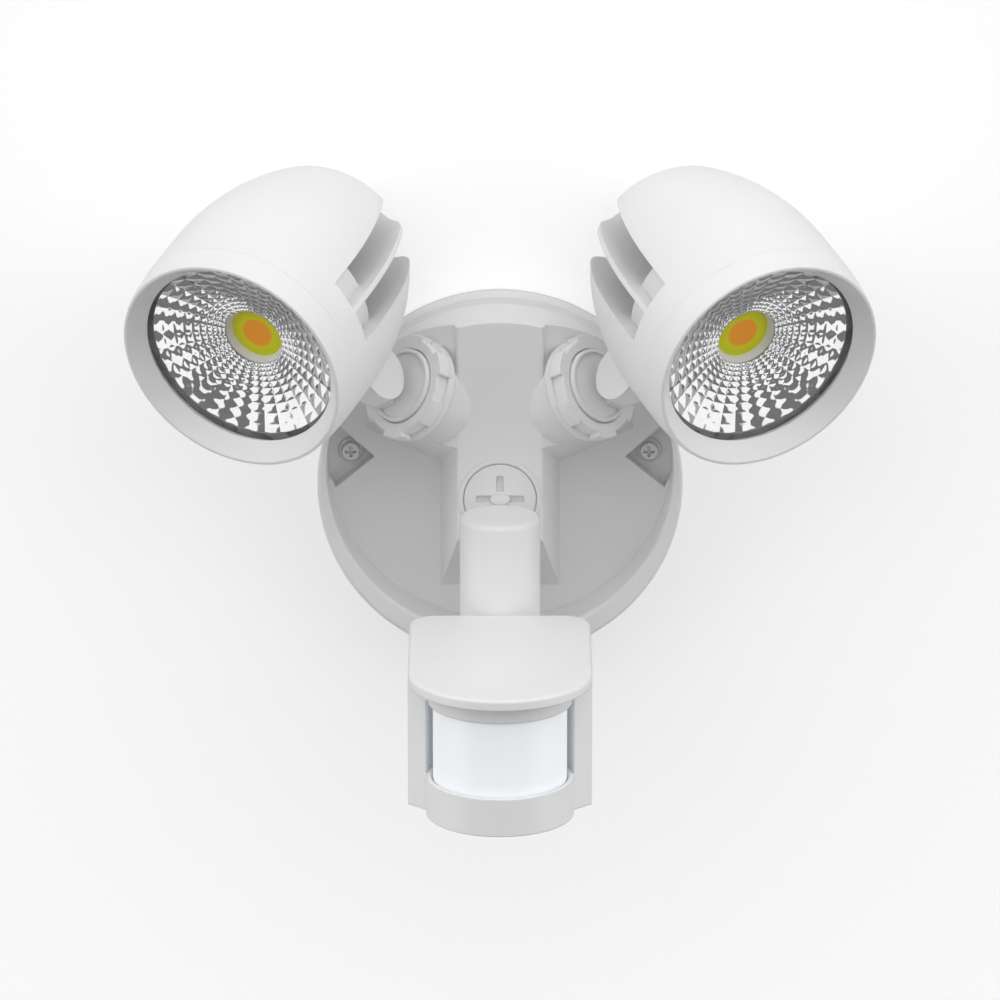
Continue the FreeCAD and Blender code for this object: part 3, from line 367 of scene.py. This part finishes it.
def mirror_bowl(name):
    """One bowl, in the head's own frame: a strip of skin spun round, then cushioned."""
    growth = (BOWL_LIP_R / BOWL_NECK_R) ** (1 / BOWL_RINGS)
    bpy.ops.mesh.primitive_plane_add(size=1 * mm, location=(0, 0, 0))
    bowl = bpy.context.object
    bowl.name = name
    bpy.ops.object.mode_set(mode="EDIT")
    bpy.ops.mesh.select_all(action="SELECT")
    bpy.ops.mesh.merge(type="CENTER")
    radius = BOWL_NECK_R
    bpy.ops.transform.translate(value=(radius, 0, bowl_depth(radius)))
    for _ in range(BOWL_RINGS):
        step = radius * growth
        bpy.ops.mesh.extrude_vertices_move(TRANSFORM_OT_translate={
            "value": (step - radius, 0, bowl_depth(step) - bowl_depth(radius))})
        radius = step
    bpy.ops.mesh.select_all(action="SELECT")
    bpy.ops.mesh.spin(steps=BOWL_SECTORS, angle=2 * math.pi, center=(0, 0, 0), axis=(0, 0, 1))
    bpy.ops.mesh.select_all(action="SELECT")
    bpy.ops.mesh.remove_doubles(threshold=0.01 * mm)
    bpy.ops.mesh.normals_make_consistent(inside=False)
    bpy.ops.object.mode_set(mode="OBJECT")
    if bowl.data.polygons[0].normal.z < 0:
        bowl.data.flip_normals()
    bpy.ops.object.mode_set(mode="EDIT")
    bpy.ops.mesh.select_all(action="SELECT")
    bpy.ops.transform.edge_crease(value=1.0)
    bpy.ops.mesh.poke(offset=CUSHION, use_relative_offset=False)
    bpy.ops.object.mode_set(mode="OBJECT")
    round_off = bowl.modifiers.new("cushions", "SUBSURF")
    round_off.levels = round_off.render_levels = 2
    bpy.ops.object.modifier_apply(modifier=round_off.name)
    wall_of_bowl = bowl.modifiers.new("wall", "SOLIDIFY")
    wall_of_bowl.thickness = BOWL_WALL
    wall_of_bowl.offset = -1.0
    bpy.ops.object.modifier_apply(modifier=wall_of_bowl.name)
    bpy.ops.object.shade_smooth_by_angle(angle=math.radians(CELL_EDGE_DEG))
    return bowl


def metallised():
    """Vacuum-coated aluminium on lacquered plastic: a clean mirror, faintly warm."""
    made, tree = new_material("vacuum_metallised_mirror")
    place = add(tree, "ShaderNodeTexCoord")
    haze = add(tree, "ShaderNodeTexNoise",
               {"Vector": place.outputs["Object"], "Scale": 120.0, "Detail": 3.0})
    rough = add(tree, "ShaderNodeMapRange",
                {"Value": haze.outputs["Fac"], "To Min": 0.02, "To Max": 0.06})
    tone = add(tree, "ShaderNodeValToRGB", {"Fac": haze.outputs["Fac"]})
    tone.color_ramp.elements[0].color = linear("#D2D2D3")
    tone.color_ramp.elements[1].color = linear("#E0E0E1")
    mirror = add(tree, "ShaderNodeBsdfPrincipled",
                 {"Base Color": tone.outputs["Color"], "Metallic": 1.0,
                  "Roughness": rough.outputs["Result"]})
    add(tree, "ShaderNodeOutputMaterial", {"Surface": mirror.outputs[0]})
    return made


mirror_skin = metallised()
LEFT_HEAD = head_place()
MIRROR_X = Matrix.Diagonal((-1, 1, 1, 1))


def settle(piece, place):
    """Moves a finished piece to its place and writes that place into its mesh."""
    piece.data.transform(place)
    if place.determinant() < 0:
        piece.data.flip_normals()
    piece.data.update()


for side_name, place in (("left", LEFT_HEAD), ("right", MIRROR_X @ LEFT_HEAD)):
    bowl = mirror_bowl(side_name + "_mirror_bowl")
    settle(bowl, place)
    bowl.data.materials.append(mirror_skin)
    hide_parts(side_name + "_reflector")
    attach(bowl, side_name + "_head")

# ---------------------------------------------------------------------------
# Light sources: a white clamp ring over a white board, with one round field of
# yellow phosphor gel that is deepest in colour over its chips.


GEL_DEEP = 13.4 * mm
GEL_R = 9.0 * mm
# The gel's glow strength: painted light, since the gel is no lamp.
GEL_PAINTED_GLOW = 0.15


def phosphor_gel():
    """Silicone gel with phosphor: yellow-green and glossy, orange over the chips.

    Its weak glow in its own colour is painted light, which brightens it in the bowl's shade.
    """
    made, tree = new_material("phosphor_gel")
    place = add(tree, "ShaderNodeTexCoord")
    centre = LEFT_HEAD @ Vector((0, 0, -GEL_DEEP))
    middle = Vector((abs(centre.x), centre.y, centre.z))
    parts = add(tree, "ShaderNodeSeparateXYZ", {"Vector": place.outputs["Object"]})
    across = add(tree, "ShaderNodeMath", {0: parts.outputs["X"]}, operation="ABSOLUTE")
    folded = add(tree, "ShaderNodeCombineXYZ",
                 {"X": across.outputs[0], "Y": parts.outputs["Y"], "Z": parts.outputs["Z"]})
    away = add(tree, "ShaderNodeVectorMath", {0: folded.outputs[0], 1: middle},
               operation="DISTANCE")
    ramp = add(tree, "ShaderNodeMapRange",
               {"Value": away.outputs["Value"], "From Min": 0.0, "From Max": GEL_R})
    tone = add(tree, "ShaderNodeValToRGB", {"Fac": ramp.outputs["Result"]})
    tone.color_ramp.elements[0].position = 0.52
    tone.color_ramp.elements[0].color = linear("#FFA52C")
    tone.color_ramp.elements[1].position = 0.6
    tone.color_ramp.elements[1].color = linear("#DCD814")
    rim = tone.color_ramp.elements.new(0.95)
    rim.color = linear("#D0D41A")
    gel = add(tree, "ShaderNodeBsdfPrincipled",
              {"Base Color": tone.outputs["Color"], "Roughness": 0.3, "IOR": 1.41,
               "Emission Color": tone.outputs["Color"], "Emission Strength": GEL_PAINTED_GLOW})
    add(tree, "ShaderNodeOutputMaterial", {"Surface": gel.outputs[0]})
    return made


# The clamp ring's white plastic is drawn whiter than the cover's: painted light, lifting it
# out of the shade at the bowl's bottom.
clamp_lifted_white = moulded_abs("moulded_clamp_ring", "#FAFAFA", "#F6F6F6", 0.34, 0.7, 0.3)
board_white = moulded_abs("alumina_board", "#E8E8E4", "#E2E2DE", 0.4, 0.5, 0.15)
gel = phosphor_gel()
for side_name in ("left", "right"):
    dress(side_name + "_led_holder", clamp_lifted_white)
    dress(side_name + "_led_board", board_white)
    dress(side_name + "_led_emitter", gel)

# ---------------------------------------------------------------------------
# Windows: flat discs of clear toughened glass, clamped under the bezels.


def clear_glass():
    """Toughened float glass with an anti-reflective coat: almost unseen from in front.

    The pane is thin and flat, so the view passes straight through it, and only
    its front gives a weak reflection.
    """
    made, tree = new_material("coated_toughened_glass")
    place = add(tree, "ShaderNodeTexCoord")
    dust = add(tree, "ShaderNodeTexNoise",
               {"Vector": place.outputs["Object"], "Scale": 260.0, "Detail": 4.0})
    rough = add(tree, "ShaderNodeMapRange",
                {"Value": dust.outputs["Fac"], "To Min": 0.01, "To Max": 0.04})
    side = add(tree, "ShaderNodeNewGeometry")
    coated = add(tree, "ShaderNodeMapRange",
                 {"Value": side.outputs["Backfacing"], "To Min": 0.5, "To Max": 0.0})
    bare = add(tree, "ShaderNodeFresnel", {"IOR": 1.5})
    shine = add(tree, "ShaderNodeMath",
                {0: bare.outputs[0], 1: coated.outputs["Result"]}, operation="MULTIPLY")
    gloss = add(tree, "ShaderNodeBsdfGlossy", {"Roughness": rough.outputs["Result"]})
    through = add(tree, "ShaderNodeBsdfTransparent", {"Color": linear("#FCFCFC")})
    pane = add(tree, "ShaderNodeMixShader",
               {0: shine.outputs[0], 1: through.outputs[0], 2: gloss.outputs[0]})
    add(tree, "ShaderNodeOutputMaterial", {"Surface": pane.outputs[0]})
    return made


window = clear_glass()
for side_name in ("left", "right"):
    dress(side_name + "_head_lens", window)

# ---------------------------------------------------------------------------
# The sensor's pivot disc and arm, moulded in the cover's white plastic and
# clamped from behind by a plastic nut.

for node in ("pivot_disc", "pivot_nut", "sensor_arm"):
    dress(node, white_plastic)
dress("pan_screw", screw_coat)

# ---------------------------------------------------------------------------
# The sensor head: a white box with a rounded hood over its curved, milky
# infrared window, a small board inside and three setting dials below.


# The film's glow strength: painted light, since the film is no lamp.
FILM_PAINTED_GLOW = 0.22


def milky_polyethylene():
    """Thin milky polyethylene, which lets infrared through: bluish white and soft.

    Its weak even glow is painted light, which keeps it bright in the hood's shade.
    """
    made, tree = new_material("milky_polyethylene")
    place = add(tree, "ShaderNodeTexCoord")
    cloud = add(tree, "ShaderNodeTexNoise",
                {"Vector": place.outputs["Object"], "Scale": 60.0, "Detail": 2.0})
    tone = add(tree, "ShaderNodeValToRGB", {"Fac": cloud.outputs["Fac"]})
    tone.color_ramp.elements[0].color = linear("#F3F6FA")
    tone.color_ramp.elements[1].color = linear("#FAFCFF")
    film = add(tree, "ShaderNodeBsdfPrincipled",
               {"Base Color": tone.outputs["Color"], "Roughness": 0.33, "IOR": 1.51,
                "Subsurface Weight": 0.6, "Subsurface Scale": 4 * mm,
                "Subsurface Radius": (1.0, 1.0, 1.0),
                "Emission Color": linear("#EEF3FA"), "Emission Strength": FILM_PAINTED_GLOW})
    add(tree, "ShaderNodeOutputMaterial", {"Surface": film.outputs[0]})
    return made


film = milky_polyethylene()
board_green = moulded_abs("solder_masked_board", "#1F6B3A", "#1A5F33", 0.35, 0.6, 0.1)
dial_black = moulded_abs("moulded_dial", "#3A3A3B", "#333334", 0.45, 0.6, 0.25)
for node in ("sensor_hood", "sensor_back", "sensor_body"):
    dress(node, white_plastic)
dress("sensor_lens", film)
dress("sensor_board", board_green)
dress("pir_element", zinc)
dress("body_screws", screw_coat)
for node in ("dial_range", "dial_lux", "dial_time"):
    dress(node, dial_black)

# ---------------------------------------------------------------------------
# Light and camera. A white room, bright overhead and at the sides, dimmer behind
# the viewer and towards the floor, and a long lens a little above the lamp.

ROOM_BRIGHT = 1.43
ROOM_DIM = 0.4
FLOOR_SHARE = 0.45
GLOSS_BRIGHT = 1.5
GLOSS_DARK = 0.26
ROUND_BOXES = ((0.3, -0.9, -0.31), (0.35, 0.35, -0.87), (0.2, -0.55, -0.81))
DIM_SIDE = (0.0, -0.9, -0.44)
CAMERA_AIM = Vector((0, -48 * mm, 0))
CAMERA_DISTANCE = 2400 * mm
CAMERA_DOWN = 17.3
CAMERA_LENS = 264.8

room = bpy.data.worlds.new("white_room")
room.use_nodes = True
scene.world = room
tree = room.node_tree
tree.nodes.clear()
place = add(tree, "ShaderNodeTexCoord")
toward_viewer = add(tree, "ShaderNodeVectorMath",
                    {0: place.outputs["Generated"], 1: DIM_SIDE},
                    operation="DOT_PRODUCT")
around = add(tree, "ShaderNodeMapRange",
             {"Value": toward_viewer.outputs["Value"], "From Min": 0.35, "From Max": 0.85,
              "To Min": ROOM_BRIGHT, "To Max": ROOM_DIM}, interpolation_type="SMOOTHSTEP")
parts = add(tree, "ShaderNodeSeparateXYZ", {"Vector": place.outputs["Generated"]})
floor = add(tree, "ShaderNodeMapRange",
            {"Value": parts.outputs["Z"], "From Min": -0.5, "From Max": 0.4,
             "To Min": FLOOR_SHARE, "To Max": 1.0}, interpolation_type="SMOOTHSTEP")
level = add(tree, "ShaderNodeMath", {0: around.outputs["Result"], 1: floor.outputs["Result"]},
            operation="MULTIPLY")

# What mirrors see is the same room's soft boxes with dark gaps between them:
# one overhead, one at each side, and three small round ones to each side below.
aside = add(tree, "ShaderNodeMath", {0: parts.outputs["X"]}, operation="ABSOLUTE")
side_box = add(tree, "ShaderNodeMapRange",
               {"Value": aside.outputs[0], "From Min": 0.72, "From Max": 0.76})
top_box = add(tree, "ShaderNodeMapRange",
              {"Value": parts.outputs["Z"], "From Min": 0.3, "From Max": 0.34})
folded = add(tree, "ShaderNodeCombineXYZ",
             {"X": aside.outputs[0], "Y": parts.outputs["Y"], "Z": parts.outputs["Z"]})
boxes = add(tree, "ShaderNodeMath", {0: side_box.outputs[0], 1: top_box.outputs[0]},
            operation="MAXIMUM")
for direction in ROUND_BOXES:
    nearness = add(tree, "ShaderNodeVectorMath", {0: folded.outputs[0], 1: direction},
                   operation="DOT_PRODUCT")
    round_box = add(tree, "ShaderNodeMapRange",
                    {"Value": nearness.outputs["Value"], "From Min": 0.968, "From Max": 0.975})
    boxes = add(tree, "ShaderNodeMath", {0: boxes.outputs[0], 1: round_box.outputs[0]},
                operation="MAXIMUM")
mirrored = add(tree, "ShaderNodeMapRange",
               {"Value": boxes.outputs[0], "To Min": GLOSS_DARK, "To Max": GLOSS_BRIGHT})
path = add(tree, "ShaderNodeLightPath")
lit = add(tree, "ShaderNodeMix",
          {0: path.outputs["Is Glossy Ray"], 2: level.outputs[0],
           3: mirrored.outputs["Result"]}, data_type="FLOAT")
shown = add(tree, "ShaderNodeMix",
            {0: path.outputs["Is Camera Ray"], 2: lit.outputs[0], 3: 1.0},
            data_type="FLOAT")
sky = add(tree, "ShaderNodeBackground",
          {"Color": (1, 1, 1, 1), "Strength": shown.outputs[0]})
add(tree, "ShaderNodeOutputWorld", {"Surface": sky.outputs[0]})

down = math.radians(CAMERA_DOWN)
eye = CAMERA_AIM + Vector((0, -math.cos(down), math.sin(down))) * CAMERA_DISTANCE
camera_data = bpy.data.cameras.new("viewpoint")
camera_data.lens = CAMERA_LENS
camera_data.sensor_width = 36.0
camera_data.clip_end = 20.0
camera = bpy.data.objects.new("viewpoint", camera_data)
camera.location = eye
camera.rotation_euler = Euler((math.pi / 2 - down, 0, 0))
scene.collection.objects.link(camera)
scene.camera = camera
scene.view_settings.view_transform = "Standard"
